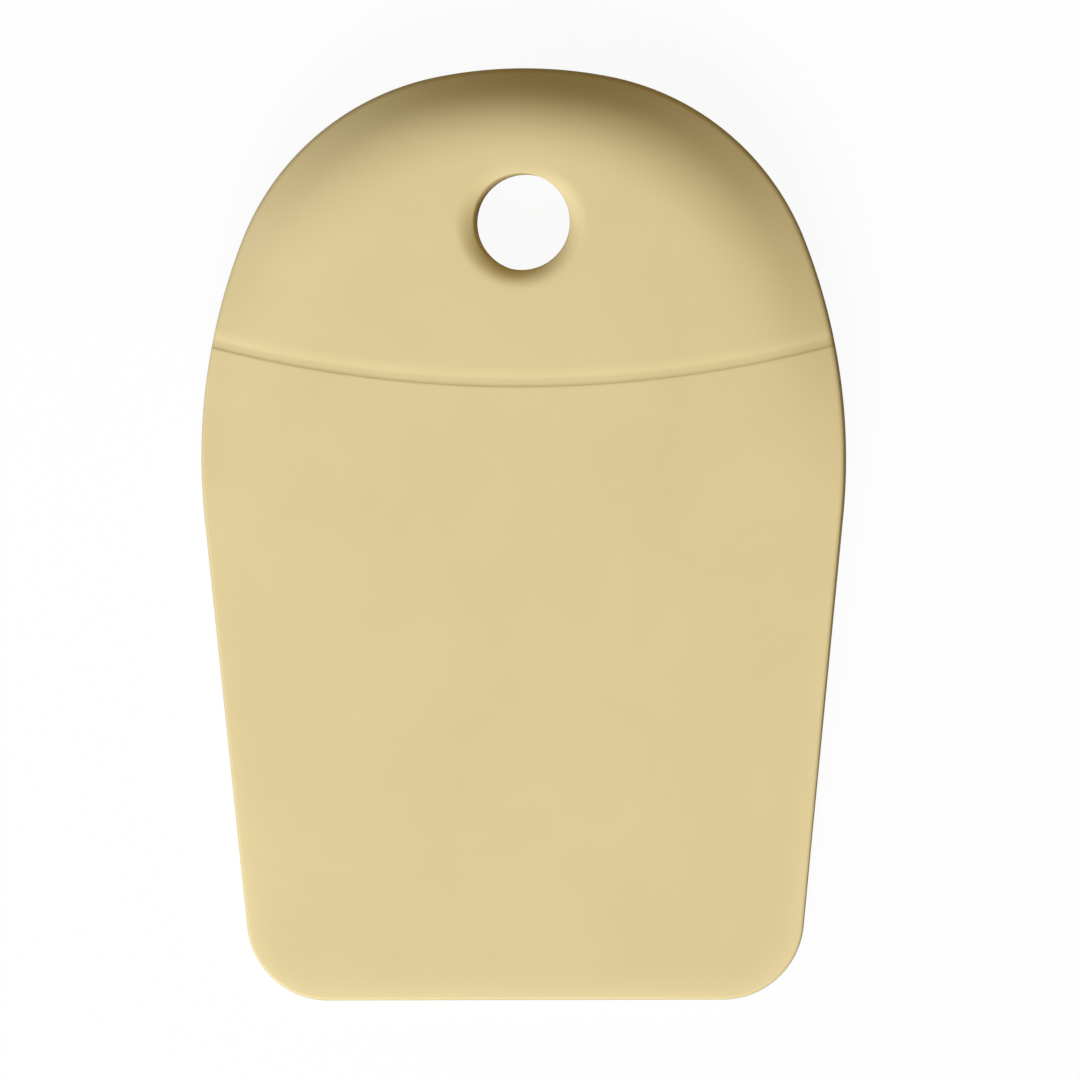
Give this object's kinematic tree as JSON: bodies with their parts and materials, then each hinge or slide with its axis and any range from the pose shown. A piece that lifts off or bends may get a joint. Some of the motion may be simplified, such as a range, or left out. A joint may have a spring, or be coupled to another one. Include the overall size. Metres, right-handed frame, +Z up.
{
  "type": "plating wedge",
  "caption": "Palm-sized silicone wedge with a thick rounded grip, a hanging hole and a blade that thins to a straight edge for drawing sauces across a plate.",
  "frame": {"origin": "centre of the tool's outline, on the surface that its flat back lies on", "axes": "+Y from the straight edge to the crown, +Z up out of the front face, +X to the right seen from the front"},
  "size_m": [0.0656, 0.0948, 0.0151],
  "materials": {
    "silicone": "satin moulded silicone, pale straw",
    "nylon": "natural moulded nylon"
  },
  "bodies": {
    "root": {"silicone_grip": "silicone", "silicone_blade": "silicone", "stiffener_core": "nylon"}
  },
  "joints": []
}
